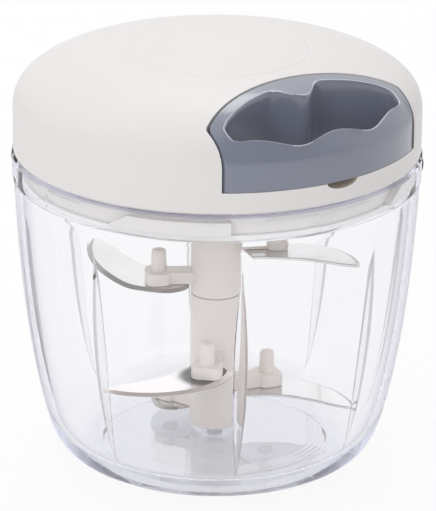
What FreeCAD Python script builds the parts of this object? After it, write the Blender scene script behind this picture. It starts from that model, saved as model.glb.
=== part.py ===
import FreeCAD, Part
import math
import os

# Pull-cord food chopper: clear bowl, domed lid with a pull handle, five blades.
# Millimetres. Z is up, the base stands on z = 0, the handle pulls towards -Y.
# Bearings are degrees from -Y towards +X.

V = FreeCAD.Vector
Z_AXIS = V(0, 0, 1)
ORIGIN = V(0, 0, 0)

# ---- fits ----
RUN = 0.05
HEX_PLAY = 0.10
AXIAL_PLAY = 0.05

# ---- bowl ----
RIM_R = 65.0
RIM_Z = 101.9
COLLAR_BORE_R = RIM_R - 1.6
COLLAR_Z = 93.3
LEDGE_Z = 92.6
SEAT_R = COLLAR_BORE_R - 2.5
SEAT_H = 0.9
SEAT_FOOT_Z = 90.7
WALL_TOP_R = RIM_R - 0.54
CORNER_R = WALL_TOP_R - 9.8
CORNER_Z = 14.5
BASE_R = CORNER_R - 14.46
WALL_MID = (WALL_TOP_R - 2.19, 42.7)
WALL_T = 2.6
FLOOR_Z = 5.5
FLOOR_R = BASE_R - 0.8
UNDER_R = BASE_R - 4.7
UNDER_Z = 1.2
RIBS = 8
RIB_BEARING = -28.7
RIB_Z = (9.4, 82.0)
RIB_W = 4.6
RIB_IN = 1.7
LUGS = 4
LUG_BEARING = -5.0
LUG_DEG = 34.0
LUG_Z = (99.2, 101.2)
LUG_R = COLLAR_BORE_R - 1.4
NUB_BEARING = -39.0

# ---- pivot pin ----
PIN_R = 2.5
PIN_FOOT_Z = 3.0
PIN_TOP_Z = 22.0
BOSS_R = 7.0
BOSS_Z = 7.55

# ---- lid shell ----
LID_R = RIM_R - 0.41
LID_FOOT_Z = 102.2
DOME_Z = 114.7
DOME_H = 20.9
LID_T = 2.4
LID_TOP_Z = DOME_Z + DOME_H
CLEAR_Z = LID_TOP_Z + 5.0
CLEAR_Y = -(LID_R + 10.0)
DISC_R = 28.9
POST_R = 4.0
POST_Z = 106.8
SCREW_XY = (36.5, 30.6)
SCREW_BOSS_R = 3.6
SCREW_R = 1.25
SCREW_HEAD_R = 2.8

# ---- lid base ----
PLATE_Z = (96.4, 98.4)
SKIRT_R = (COLLAR_BORE_R - 5.4, COLLAR_BORE_R - 3.0)
SKIRT_Z = 94.4
FLANGE_Z = (102.4, 104.4)
TAB_BEARING = -50.0
TAB_DEG = 35.5
TAB_RAMP_DEG = 6.0
TAB_TOP_Z = 98.8
TAB_R = COLLAR_BORE_R - 0.4
HUB_TUBE_R = 13.6
HUB_TUBE_Z = 86.0

# ---- handle and its pocket ----
HANDLE_Z = 109.0
HANDLE_INSET = 0.15
HANDLE_HALF_W = 36.3
HANDLE_BACK_Y = -(LID_R - 30.09)
HANDLE_BACK_R = 70.0
HANDLE_BACK_T = 3.4
WAVE_R = LID_R - 2.79
WAVE_AMP = 0.95
WAVE_PITCH = 27.0
CORD_BUMP = 7.2
CORD_BUMP_HALF = 11.0
POCKET_GAP = 0.7
POCKET_T = 2.0
POCKET_FLOOR_Z = 108.9
THUMB_R = 4.6

# ---- cord ----
CORD_R = 0.8
CORD_Z = 117.3
GUIDE_Y = HANDLE_BACK_Y + 3.9
KNOT_R = 2.3
KNOT_Y = HANDLE_BACK_Y - 5.9

# ---- spool ----
CORE_R = 17.0
SPOOL_R = -HANDLE_BACK_Y - 7.5
SPOOL_Z = (106.85, 109.5, 118.5, 120.3)
SPRING_BAY_R = 15.2
SPRING_BAY_Z = 111.0
SPRING_T = 0.35
SPRING_TURNS = 7
WIND_R = CORE_R + CORD_R + 0.02
WIND_PITCH = 1.66
WIND_TURNS = 4.25
WIND_Z = 110.4

# ---- clutch ----
PAWLS = 3
PAWL_PIVOT_R = 14.6
STUD_R = 1.5
PAWL_EYE_R = 2.7
PAWL_Z = (102.0, 106.4)
PAWL_REACH = 10.4
TEETH = 12
TOOTH_ROOT_R = 22.0
TOOTH_FACE = 2.0
TOOTH_ANGLE = 24.0
RATCHET_R = 24.0
DRIVER_R = 9.0
DRIVER_Z = (84.2, 99.3, 101.8, 106.3)
SOCKET_TOP_Z = 97.2

# ---- blade assembly ----
SHAFT_R = 8.1
SHAFT_FOOT_Z = 7.6
JOINT_Z = 52.8
UPPER_TOP_Z = 83.6
DRIVE_HEX = 10.1
DRIVE_TOP_Z = 96.0
STACK_HEX = 9.0
STACK_TOP_Z = 62.5
BLADE_R = BASE_R + 6.1
BLADE_T = 0.9
BEND_AT = 21.6
PAD_T = 4.2
PAD_W = 9.8
PAD_END = 22.8
ARM_W = 6.6
POST_AT_R = 18.4
BLADE_POST_R = 2.5
BLADE_POST_H = 7.2
STAKE_R = 1.6

# bearing of the arm, underside of the blade, extra sweep, tip bend in degrees, reach
LOWER_TIER = [(-44.3, 29.9, 0.0, 0.0, 1.0), (77.7, 17.0, 2.0, 0.0, 1.0),
              (195.7, 10.4, -22.0, 0.0, 1.0)]
UPPER_TIER = [(-121.3, 55.4, 0.0, 8.0, 1.08), (58.7, 66.8, 17.0, 5.0, 1.0)]
# arm shape: start of the pad, width and thickness of the arm, height of the post
FULL_ARM = (14.4, ARM_W, PAD_T, BLADE_POST_H)
BARE_ARM = (14.4, ARM_W, PAD_T, 0.0)
THIN_ARM = (16.0, 5.4, 1.5, BLADE_POST_H)
LOWER_ARMS = [FULL_ARM, FULL_ARM, BARE_ARM]
UPPER_ARMS = [FULL_ARM, THIN_ARM]


# ---------------------------------------------------------------- helpers
def polar(r, bearing, z=0.0):
    a = math.radians(bearing - 90.0)
    return V(r * math.cos(a), r * math.sin(a), z)


def cyl(r, z0, z1, x=0.0, y=0.0):
    return Part.makeCylinder(r, z1 - z0, V(x, y, z0))


def ring(r0, r1, z0, z1):
    return cyl(r1, z0, z1).cut(cyl(r0, z0 - 1.0, z1 + 1.0))


def spin(edges):
    face = Part.Face(Part.Wire(edges))
    return face.revolve(ORIGIN, Z_AXIS, 360)


def chain(points):
    pts = [V(r, 0, z) for r, z in points]
    return [Part.makeLine(a, b) for a, b in zip(pts[:-1], pts[1:])]


def spin_points(points):
    return spin(chain(points + [points[0]]))


def curve(points):
    spline = Part.BSplineCurve()
    spline.interpolate(points)
    return spline.toShape()


def prism(points, z0, z1):
    pts = [V(x, y, z0) for x, y in points]
    face = Part.Face(Part.makePolygon(pts + [pts[0]]))
    return face.extrude(V(0, 0, z1 - z0))


def hexagon(across_flats, z0, z1):
    r = across_flats / math.sqrt(3.0)
    return prism([(r * math.cos(math.radians(60 * k)), r * math.sin(math.radians(60 * k)))
                  for k in range(6)], z0, z1)


def turned(shape, degrees):
    out = shape.copy()
    out.rotate(ORIGIN, Z_AXIS, degrees)
    return out


def fuse_all(shapes):
    out = shapes[0]
    for other in shapes[1:]:
        out = out.fuse(other)
    return out.removeSplitter()


def sector(r0, r1, z0, z1, bearing, width):
    wedge = Part.makeCylinder(r1, z1 - z0, V(0, 0, z0), Z_AXIS, width)
    wedge = wedge.cut(cyl(r0, z0 - 1.0, z1 + 1.0))
    return turned(wedge, bearing - 90.0 - width / 2.0)


def radial_cylinder(r, inner, outer, bearing, z):
    direction = polar(1.0, bearing)
    return Part.makeCylinder(r, outer - inner, polar(inner, bearing, z), direction)


def vertical_edges(shape, keep):
    found = []
    for edge in shape.Edges:
        a, b = edge.Vertexes[0].Point, edge.Vertexes[-1].Point
        upright = abs(a.x - b.x) < 1e-6 and abs(a.y - b.y) < 1e-6 and abs(a.z - b.z) > 1.0
        if upright and keep(a):
            found.append(edge)
    return found


def save(shape, node):
    shape.exportStep("parts/" + node + ".step")


# ---------------------------------------------------------------- bowl
def bezier(poles):
    out = Part.BezierCurve()
    out.setPoles([V(r, 0, z) for r, z in poles])
    return out.toShape()


def wall_curve(r0, z0, mid, r1, z1):
    return bezier([(r0, z0), mid, (r1, z1)])


def corner_curve(r_flat, z_flat, bulge, r_wall, z_wall, mid, lead):
    before = (r_wall - (mid[0] - r_wall) * lead, z_wall - (mid[1] - z_wall) * lead)
    return bezier([(r_flat, z_flat), (r_flat + bulge, z_flat), before, (r_wall, z_wall)])


def bowl_body():
    t = WALL_T
    edges = chain([(0, UNDER_Z), (UNDER_R, UNDER_Z), (UNDER_R + 1.2, 0), (BASE_R, 0)])
    edges.append(corner_curve(BASE_R, 0, 9.6, CORNER_R, CORNER_Z, WALL_MID, 0.24))
    edges.append(wall_curve(CORNER_R, CORNER_Z, WALL_MID, WALL_TOP_R, COLLAR_Z))
    edges += chain([(WALL_TOP_R, COLLAR_Z), (RIM_R, COLLAR_Z + 0.6), (RIM_R, RIM_Z - 0.6),
                    (RIM_R - 0.6, RIM_Z), (COLLAR_BORE_R + 0.6, RIM_Z),
                    (COLLAR_BORE_R, RIM_Z - 0.6), (COLLAR_BORE_R, LEDGE_Z),
                    (SEAT_R, LEDGE_Z), (SEAT_R, LEDGE_Z - SEAT_H), (WALL_TOP_R - t, SEAT_FOOT_Z)])
    inner_corner = CORNER_R - t
    inner_mid = (WALL_MID[0] - t, WALL_MID[1])
    edges.append(wall_curve(WALL_TOP_R - t, SEAT_FOOT_Z, inner_mid, inner_corner,
                            CORNER_Z + 1.0))
    edges.append(corner_curve(FLOOR_R, FLOOR_Z, 8.1, inner_corner, CORNER_Z + 1.0,
                              inner_mid, 0.2))
    edges += chain([(FLOOR_R, FLOOR_Z), (BOSS_R, FLOOR_Z), (BOSS_R, BOSS_Z), (0, BOSS_Z),
                    (0, UNDER_Z)])
    body = spin(edges)

    rib_band = spin([wall_curve(WALL_TOP_R - t - RIB_IN, LEDGE_Z,
                                (inner_mid[0] - RIB_IN, inner_mid[1]),
                                inner_corner - RIB_IN, 8.0)]
                    + chain([(inner_corner - RIB_IN, 8.0), (inner_corner - 1.0, 8.0)])
                    + [wall_curve(inner_corner - 1.0, 8.0, (WALL_MID[0] - 1.0, WALL_MID[1]),
                                  WALL_TOP_R - 1.0, LEDGE_Z)]
                    + chain([(WALL_TOP_R - 1.0, LEDGE_Z),
                             (WALL_TOP_R - t - RIB_IN, LEDGE_Z)]))
    half = (RIB_Z[1] - RIB_Z[0]) / 2.0
    mid_z = (RIB_Z[1] + RIB_Z[0]) / 2.0
    arc_r = (half * half + RIB_W * RIB_W / 4.0) / RIB_W
    lens = None
    for side in (-1, 1):
        drum = Part.makeCylinder(arc_r, 30.0, V(40.0, side * (arc_r - RIB_W / 2.0), mid_z),
                                 V(1, 0, 0))
        lens = drum if lens is None else lens.common(drum)
    rib = lens.common(rib_band)
    ribs = [turned(rib, RIB_BEARING - 90.0 + 360.0 / RIBS * k) for k in range(RIBS)]

    lugs = []
    nubs = []
    for k in range(LUGS):
        turn = 360.0 / LUGS * k
        lugs.append(sector(LUG_R, COLLAR_BORE_R + 0.8, LUG_Z[0], LUG_Z[1],
                           LUG_BEARING + turn, LUG_DEG))
        stop = sector(LUG_R, COLLAR_BORE_R + 0.8, 96.0, LUG_Z[0],
                      LUG_BEARING + turn + 0.8, 4.0)
        lugs.append(stop)
        for step in (-1.2, 1.2):
            nubs.append(radial_cylinder(1.7, RIM_R - 1.0, RIM_R + 0.4,
                                        NUB_BEARING + turn + step, 97.9))
    body = fuse_all([body] + ribs + lugs + nubs)
    body = body.cut(cyl(PIN_R, PIN_FOOT_Z, BOSS_Z + 1.0))
    return body


def pivot_pin():
    pin = cyl(PIN_R, PIN_FOOT_Z, PIN_TOP_Z)
    return pin.makeChamfer(0.8, [e for e in pin.Edges if e.BoundBox.ZMin > PIN_TOP_Z - 0.01])


# ---------------------------------------------------------------- lid
def dome_solid(inset, foot_z, top_drop):
    r0 = LID_R - inset
    h = DOME_H - top_drop
    points = []
    for k in range(11):
        a = math.radians(9.0 * k)
        r = r0 * math.cos(a) ** (2.0 / 2.15) if k < 10 else 0.0
        z = DOME_Z + h * math.sin(a) ** (2.0 / 2.8)
        points.append(V(r, 0, z))
    spline = Part.BSplineCurve()
    flags = [True] + [False] * 9 + [True]
    tangents = [V(0, 0, 1)] + [V(-1, 0, 1)] * 9 + [V(-1, 0, 0)]
    spline.interpolate(Points=points, Tangents=tangents, TangentFlags=flags)
    edges = [spline.toShape()]
    edges += chain([(0, DOME_Z + h), (0, foot_z), (r0, foot_z), (r0, DOME_Z)])
    return spin(edges)


def back_arc_y(x, offset):
    r = HANDLE_BACK_R + offset
    centre = HANDLE_BACK_Y - HANDLE_BACK_R
    return centre + math.sqrt(r * r - x * x)


def handle_plan(offset, front_y, z0, z1, corner):
    xs = HANDLE_HALF_W + offset
    ys = back_arc_y(xs, offset)
    left = V(-xs, ys, z0)
    right = V(xs, ys, z0)
    top = V(0, HANDLE_BACK_Y + offset, z0)
    edges = [Part.Arc(right, top, left).toShape()]
    edges.append(Part.makeLine(left, V(-xs, front_y, z0)))
    edges.append(Part.makeLine(V(-xs, front_y, z0), V(xs, front_y, z0)))
    edges.append(Part.makeLine(V(xs, front_y, z0), right))
    solid = Part.Face(Part.Wire(edges)).extrude(V(0, 0, z1 - z0))
    corners = vertical_edges(solid, lambda p: p.y > front_y + 1.0)
    return solid.makeFillet(corner, corners)


def lid_cover():
    shell = dome_solid(0.0, LID_FOOT_Z, 0.0)
    hollow = dome_solid(LID_T, LID_FOOT_Z - 1.0, LID_T)
    body = shell.cut(hollow)

    wall = handle_plan(POCKET_GAP + POCKET_T, CLEAR_Y, POCKET_FLOOR_Z - POCKET_T, CLEAR_Z,
                       3.0 + POCKET_GAP + POCKET_T)
    thumb_y = -(LID_R - 9.59)
    thumb_shell = Part.makeCylinder(THUMB_R + POCKET_T, 12.0, V(0, thumb_y, POCKET_FLOOR_Z),
                                    V(0, -1, 0))
    trim = dome_solid(0.6, LID_FOOT_Z, 0.6)
    extras = [wall.fuse(thumb_shell).common(trim)]
    extras.append(cyl(POST_R, POST_Z, LID_TOP_Z - 1.5))
    for sx in (-1, 1):
        for sy in (-1, 1):
            boss = cyl(SCREW_BOSS_R, PLATE_Z[1], CLEAR_Z, sx * SCREW_XY[0], sy * SCREW_XY[1])
            extras.append(boss.common(dome_solid(1.0, PLATE_Z[1], 1.0)))
    body = fuse_all([body] + extras)

    pocket = handle_plan(POCKET_GAP, CLEAR_Y, POCKET_FLOOR_Z, CLEAR_Z, 3.0 + POCKET_GAP)
    thumb = Part.makeCylinder(THUMB_R, 13.0, V(0, thumb_y - POCKET_T, POCKET_FLOOR_Z),
                              V(0, -1, 0))
    cord_hole = Part.makeCylinder(2.6, 8.0, V(0, HANDLE_BACK_Y + 6.5, CORD_Z), V(0, -1, 0))
    body = body.cut(pocket).cut(thumb).cut(cord_hole)
    body = body.cut(cyl(SCREW_R, POST_Z - 1.0, POST_Z + 9.0))
    for sx in (-1, 1):
        for sy in (-1, 1):
            body = body.cut(cyl(SCREW_R, PLATE_Z[1] - 1.0, PLATE_Z[1] + 13.0,
                                sx * SCREW_XY[0], sy * SCREW_XY[1]))
    groove = ring(DISC_R - 0.4, DISC_R + 0.4, LID_TOP_Z - 3.0, CLEAR_Z)
    groove = groove.cut(dome_solid(0.0, LID_FOOT_Z, 0.3))
    return body.cut(groove)


def bayonet_tab(bearing):
    tab = sector(SKIRT_R[1] - 0.6, TAB_R, SKIRT_Z, TAB_TOP_Z, bearing, TAB_DEG)
    start = bearing - TAB_DEG / 2.0
    ramp = sector(SKIRT_R[1], TAB_R + 1.0, SKIRT_Z, TAB_TOP_Z + 1.0,
                  start + TAB_RAMP_DEG / 2.0, TAB_RAMP_DEG + 0.1)
    mid_r = SKIRT_R[1] + 0.6
    low = polar(mid_r, start)
    high = polar(mid_r, start + TAB_RAMP_DEG)
    across = polar(1.0, start + TAB_RAMP_DEG / 2.0)
    base = [V(low.x, low.y, SKIRT_Z + 0.8), V(high.x, high.y, TAB_TOP_Z),
            V(high.x, high.y, TAB_TOP_Z + 2.0), V(low.x, low.y, TAB_TOP_Z + 2.0)]
    along = (high - low).normalize()
    base[0] = base[0] - along * 1.0 - V(0, 0, 0.7)
    base[3] = base[3] - along * 1.0
    base = [p - across * 4.0 for p in base]
    cutter = Part.Face(Part.makePolygon(base + [base[0]])).extrude(across * 8.0)
    return tab.cut(ramp.common(cutter))


def lid_base():
    body = spin_points([(DRIVER_R + RUN + 1.55, HUB_TUBE_Z), (HUB_TUBE_R, HUB_TUBE_Z),
                        (HUB_TUBE_R, PLATE_Z[0]), (SKIRT_R[0], PLATE_Z[0]),
                        (SKIRT_R[0], 96.05), (SKIRT_R[0] + 0.4, 96.05),
                        (SKIRT_R[0] + 0.4, 95.35), (SKIRT_R[0], 95.35),
                        (SKIRT_R[0], SKIRT_Z), (SKIRT_R[1], SKIRT_Z),
                        (SKIRT_R[1], FLANGE_Z[0]), (LID_R - LID_T, FLANGE_Z[0]),
                        (LID_R - LID_T, FLANGE_Z[1]), (SKIRT_R[0], FLANGE_Z[1]),
                        (SKIRT_R[0], PLATE_Z[1]), (DRIVER_R + RUN + 1.55, PLATE_Z[1])])
    extras = [bayonet_tab(TAB_BEARING + 90.0 * k) for k in range(4)]
    for k in range(8):
        rib = Part.makeBox(SKIRT_R[0] - HUB_TUBE_R - 1.9, 1.6, 3.2,
                           V(HUB_TUBE_R - 0.6, -0.8, PLATE_Z[0] - 3.0))
        extras.append(turned(rib, 22.5 + 45.0 * k))
    body = fuse_all([body] + extras)
    for sx in (-1, 1):
        for sy in (-1, 1):
            body = body.cut(cyl(SCREW_R + 0.4, PLATE_Z[0] - 1.0, PLATE_Z[1] + 1.0,
                                sx * SCREW_XY[0], sy * SCREW_XY[1]))
    relief = Part.makeCylinder(THUMB_R + POCKET_T + 0.2, 16.0,
                               V(0, -(LID_R - 14.59), POCKET_FLOOR_Z), V(0, -1, 0))
    return body.cut(relief)


def seal_ring():
    outer = LUG_R - 0.3
    return spin_points([(SKIRT_R[0] - 1.5, LEDGE_Z), (outer, LEDGE_Z), (outer, SKIRT_Z - AXIAL_PLAY),
                        (SKIRT_R[0] - RUN, SKIRT_Z - AXIAL_PLAY), (SKIRT_R[0] - RUN, 95.4),
                        (SKIRT_R[0] + 0.35, 95.4), (SKIRT_R[0] + 0.35, 96.0),
                        (SKIRT_R[0] - RUN, 96.0), (SKIRT_R[0] - RUN, 96.3), (SKIRT_R[0] - 1.5, 96.3)])


def lid_screws():
    screws = []
    for sx in (-1, 1):
        for sy in (-1, 1):
            x, y = sx * SCREW_XY[0], sy * SCREW_XY[1]
            head = cyl(SCREW_HEAD_R, PLATE_Z[0] - 1.7, PLATE_Z[0], x, y)
            shank = cyl(SCREW_R, PLATE_Z[0], PLATE_Z[1] + 11.0, x, y)
            drive = fuse_all([cyl(0.6, 90.0, PLATE_Z[0] - 0.7, x, y),
                              Part.makeBox(3.2, 0.7, 6.0, V(x - 1.6, y - 0.35, 89.7)),
                              Part.makeBox(0.7, 3.2, 6.0, V(x - 0.35, y - 1.6, 89.7))])
            screws.append(fuse_all([head, shank]).cut(drive))
    return Part.Compound(screws)


def shaft_bush():
    r0 = DRIVER_R + RUN
    return spin_points([(r0, HUB_TUBE_Z), (r0 + 1.55, HUB_TUBE_Z), (r0 + 1.55, PLATE_Z[1]),
                        (13.0, PLATE_Z[1]), (13.0, DRIVER_Z[1] - AXIAL_PLAY),
                        (r0, DRIVER_Z[1] - AXIAL_PLAY)])


def spool_washer():
    return ring(1.3, 7.5, POST_Z - 0.8, POST_Z)


def spool_screw():
    z = POST_Z - 0.8
    head = cyl(3.0, z - 1.7, z)
    slot = Part.makeBox(7.0, 0.8, 0.8, V(-3.5, -0.4, z - 1.7))
    return fuse_all([head, cyl(SCREW_R, z, POST_Z + 8.0)]).cut(slot)


def cord_eyelet():
    wall_y = HANDLE_BACK_Y + POCKET_GAP
    sleeve = Part.makeCylinder(2.6, POCKET_T, V(0, wall_y + POCKET_T, CORD_Z), V(0, -1, 0))
    flange = Part.makeCylinder(3.6, 1.2, V(0, wall_y + POCKET_T + 1.2, CORD_Z), V(0, -1, 0))
    body = sleeve.fuse(flange)
    body = body.cut(Part.makeCylinder(1.3, 9.0, V(0, wall_y + 5.8, CORD_Z), V(0, -1, 0)))
    flare = Part.makeCone(2.6, 1.3, 1.2, V(0, wall_y + POCKET_T + 1.2, CORD_Z), V(0, -1, 0))
    return body.cut(flare)


# ---------------------------------------------------------------- handle
def finger_opening(z0, z1):
    front = []
    back = []
    step = (HANDLE_HALF_W - 6.3) / 10.0
    for k in range(-10, 11):
        x = step * k
        r = WAVE_R - WAVE_AMP * math.cos(2.0 * math.pi * x / WAVE_PITCH)
        front.append(V(x, -math.sqrt(r * r - x * x), z0))
        bump = 0.0
        if abs(x) < CORD_BUMP_HALF:
            bump = CORD_BUMP * 0.5 * (1.0 + math.cos(math.pi * x / CORD_BUMP_HALF))
        back.append(V(x, back_arc_y(x, -HANDLE_BACK_T) - bump, z0))
    ends = []
    for a, b, side in ((front[-1], back[-1], 1), (back[0], front[0], -1)):
        mid = V(side * (HANDLE_HALF_W - 3.7), (a.y + b.y) / 2.0, z0)
        ends.append(Part.Arc(a, mid, b).toShape())
    wire = Part.Wire([curve(front), ends[0], curve(back), ends[1]])
    return Part.Face(wire).extrude(V(0, 0, z1 - z0))


def handle():
    plan = handle_plan(0.0, CLEAR_Y, HANDLE_Z, CLEAR_Z, 3.0)
    body = plan.common(dome_solid(HANDLE_INSET, HANDLE_Z - 2.0, HANDLE_INSET))
    corner_y = -math.sqrt((LID_R - HANDLE_INSET) ** 2 - HANDLE_HALF_W ** 2)
    front = vertical_edges(body, lambda p: p.y < corner_y + 1.0)
    body = body.makeFillet(1.6, front)
    body = body.cut(finger_opening(HANDLE_Z - 1.0, CLEAR_Z + 1.0))
    bore = Part.makeCylinder(1.1, 8.0, V(0, HANDLE_BACK_Y + 1.0, CORD_Z), V(0, -1, 0))
    chamber = cyl(3.0, HANDLE_Z - 1.0, CORD_Z + 3.5, 0.0, KNOT_Y - 0.6)
    return body.cut(bore).cut(chamber)


# ---------------------------------------------------------------- cord
def tangent_bearing():
    return -math.degrees(math.acos(WIND_R / -GUIDE_Y))


def wind_end():
    return polar(WIND_R, tangent_bearing(), WIND_Z + WIND_PITCH * WIND_TURNS)


def cord_knot():
    return Part.makeSphere(KNOT_R, V(0, KNOT_Y, CORD_Z))


def cord_run():
    bend = V(0, GUIDE_Y, CORD_Z)
    lead = bend - wind_end()
    start = bend - lead * ((lead.Length - 0.6) / lead.Length)
    lead = bend - start
    inside = Part.makeCylinder(CORD_R, lead.Length, start, lead)
    outside = Part.makeCylinder(CORD_R, GUIDE_Y - KNOT_Y, bend, V(0, -1, 0))
    body = fuse_all([inside, Part.makeSphere(CORD_R, bend), outside])
    return body.cut(cord_knot())


def cord_winding():
    rise = WIND_PITCH / 4.0
    coil_r = math.hypot(WIND_R, rise)
    tilt = math.degrees(math.asin(rise / coil_r))
    halves = int(2.0 * WIND_TURNS)
    last_sweep = 360.0 * (WIND_TURNS - halves / 2.0)
    faces = []
    for k in range(halves + 1):
        sweep = 180.0 if k < halves else last_sweep
        bow = Part.makeTorus(coil_r, CORD_R - 0.02, ORIGIN, Z_AXIS, 0, 360, sweep)
        bow.rotate(ORIGIN, V(0, 1, 0), tilt)
        bow.rotate(ORIGIN, Z_AXIS, 180.0 * k)
        bow.translate(V(0, 0, WIND_Z + rise + 2.0 * rise * k))
        for face in bow.Faces:
            centre = face.CenterOfMass
            is_start = k == 0 and centre.x > 1.0 and abs(centre.y) < 0.1
            is_end = k == halves and abs(centre.y) > 1.0
            if isinstance(face.Surface, Part.Toroid) or is_start or is_end:
                faces.append(face)
    shell = Part.makeShell(faces)
    shell.sewShape()
    end_angle = tangent_bearing() - 90.0
    return turned(Part.makeSolid(shell), end_angle - 360.0 * WIND_TURNS)


# ---------------------------------------------------------------- spool
def spool():
    z0, z1, z2, z3 = SPOOL_Z
    body = spin_points([(POST_R + RUN, z0), (SPOOL_R, z0), (SPOOL_R, z1), (CORE_R, z1),
                        (CORE_R, z2), (SPOOL_R, z2), (SPOOL_R, z3), (SPRING_BAY_R + 0.8, z3),
                        (SPRING_BAY_R + 0.8, z3 - 1.2), (SPRING_BAY_R, z3 - 1.2),
                        (SPRING_BAY_R, SPRING_BAY_Z), (POST_R + RUN, SPRING_BAY_Z)])
    studs = []
    for k in range(PAWLS):
        p = polar(PAWL_PIVOT_R, 30.0 + 120.0 * k)
        studs.append(cyl(STUD_R, PAWL_Z[0] - 0.1, z0 + 0.5, p.x, p.y))
    return fuse_all([body] + studs)


def spring_cover():
    z3 = SPOOL_Z[3]
    return ring(POST_R + 1.2, SPRING_BAY_R + 0.8, z3 - 1.2, z3)


def mainspring():
    inner = []
    outer = []
    r0 = POST_R + 0.02
    growth = SPRING_BAY_R - 0.02 - SPRING_T - r0
    steps = 12 * SPRING_TURNS
    for k in range(steps + 1):
        r = r0 + growth * k / steps
        inner.append(polar(r, 30.0 * k, SPRING_BAY_Z + 0.4))
        outer.append(polar(r + SPRING_T, 30.0 * k, SPRING_BAY_Z + 0.4))
    a = curve(inner)
    b = curve(outer)
    ends = [Part.makeLine(inner[0], outer[0]), Part.makeLine(inner[-1], outer[-1])]
    wire = Part.Wire([a, ends[1], b, ends[0]])
    return Part.Face(wire).extrude(V(0, 0, 7.2))


# ---------------------------------------------------------------- clutch
def pawl_axes():
    tip = V(21.7 * math.cos(math.radians(TOOTH_ANGLE)),
            21.7 * math.sin(math.radians(TOOTH_ANGLE)), 0) - V(PAWL_PIVOT_R, 0, 0)
    along = tip.normalize()
    return along, V(along.y, -along.x, 0)


def pawl(bearing):
    along, out = pawl_axes()
    pivot = V(PAWL_PIVOT_R, 0, 0)
    corners = [pivot + out * 2.2, pivot + along * PAWL_REACH - out * 0.1,
               pivot + along * PAWL_REACH - out * 2.0, pivot - out * 2.4]
    arm = prism([(p.x, p.y) for p in corners], PAWL_Z[0], PAWL_Z[1])
    eye = cyl(PAWL_EYE_R, PAWL_Z[0], PAWL_Z[1], PAWL_PIVOT_R, 0)
    body = fuse_all([arm, eye])
    body = body.cut(cyl(STUD_R + RUN, PAWL_Z[0] - 1.0, PAWL_Z[1] + 1.0, PAWL_PIVOT_R, 0))
    return turned(body, bearing - 90.0)


def driver():
    z0, z1, z2, z3 = DRIVER_Z
    along, out = pawl_axes()
    outline = []
    root = V(TOOTH_ROOT_R * math.cos(math.radians(TOOTH_ANGLE)),
             TOOTH_ROOT_R * math.sin(math.radians(TOOTH_ANGLE)), 0)
    tip = root - out * TOOTH_FACE
    for k in range(TEETH):
        for p in (root, tip):
            a = math.atan2(p.y, p.x) + math.radians(360.0 / TEETH * k - 60.0)
            outline.append((p.Length * math.cos(a), p.Length * math.sin(a)))
    cup = cyl(RATCHET_R, z1, z3).cut(prism(outline, z2, z3 + 1.0))
    body = fuse_all([cup, cyl(DRIVER_R, z0, z1)])
    return body.cut(hexagon(DRIVE_HEX + 2.0 * HEX_PLAY, z0 - 1.0, SOCKET_TOP_Z))


# ---------------------------------------------------------------- blades
def blade_outline(reach):
    k = reach * BLADE_R / 46.3
    root_front = V(8.9, 3.4, 0)
    root_back = V(8.9, -6.6, 0)
    outer = [root_front, V(10.6, 6.0, 0)] + [V(x * k, y * k, 0) for x, y in (
        (14.2, 7.6), (20.0, 6.3), (26.8, 2.6), (32.2, -3.6), (35.8, -11.0), (37.1, -18.0),
        (36.9, -24.5), (35.4, -29.8))]
    inner = [V(x * k, y * k, 0) for x, y in (
        (34.4, -30.2), (30.2, -25.6), (26.2, -19.6), (21.6, -14.0), (16.2, -9.8))]
    inner.append(root_back)
    round_tip = Part.makeLine(outer[-1], inner[0])
    return Part.Wire([curve(outer), round_tip, curve(inner),
                      Part.makeLine(root_back, root_front)])


def bent_sheet(bend_deg):
    slope = math.tan(math.radians(bend_deg))
    far = 70.0
    rise = (far - BEND_AT) * slope
    points = [V(-10, 0, 0), V(BEND_AT, 0, 0), V(far, 0, rise), V(far, 0, rise + BLADE_T),
              V(BEND_AT, 0, BLADE_T), V(-10, 0, BLADE_T)]
    sheet = Part.Face(Part.makePolygon(points + [points[0]])).extrude(V(0, 120, 0))
    sheet.translate(V(0, -60, 0))
    sheet.rotate(ORIGIN, Z_AXIS, -36.0)
    return sheet


def blade(bearing, z, sweep, bend, reach):
    face = Part.Face(blade_outline(reach))
    if bend:
        face.translate(V(0, 0, -20.0))
        body = face.extrude(V(0, 0, 40.0)).common(bent_sheet(bend))
    else:
        body = face.extrude(V(0, 0, BLADE_T))
    body.rotate(V(POST_AT_R, 0, 0), Z_AXIS, sweep)
    body = body.cut(cyl(STAKE_R, -2.0, 3.0, POST_AT_R, 0))
    body.translate(V(0, 0, z))
    body = turned(body, bearing - 90.0)
    return body.cut(cyl(SHAFT_R, z - 20.0, z + 20.0))


def arm_solids(bearing, z, shape):
    pad_start, arm_w, arm_t, post_h = shape
    under = z + BLADE_T
    arm = Part.makeBox(pad_start - 3.0, arm_w, arm_t, V(4.0, -arm_w / 2.0, under))
    pad = Part.makeBox(PAD_END - pad_start, PAD_W, PAD_T, V(pad_start, -PAD_W / 2.0, under))
    pad = pad.makeFillet(2.6, vertical_edges(pad, lambda p: True))
    stake = cyl(STAKE_R, z - 0.2, under + 0.5, POST_AT_R, 0)
    button = cyl(STAKE_R + 1.1, z - 0.9, z, POST_AT_R, 0)
    solids = [arm, pad, stake, button]
    if post_h > 0.0:
        foot = V(POST_AT_R, 0, under + PAD_T)
        solids.append(Part.makeCone(BLADE_POST_R, BLADE_POST_R - 0.2, post_h, foot))
    return [turned(s, bearing - 90.0) for s in solids]


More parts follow.
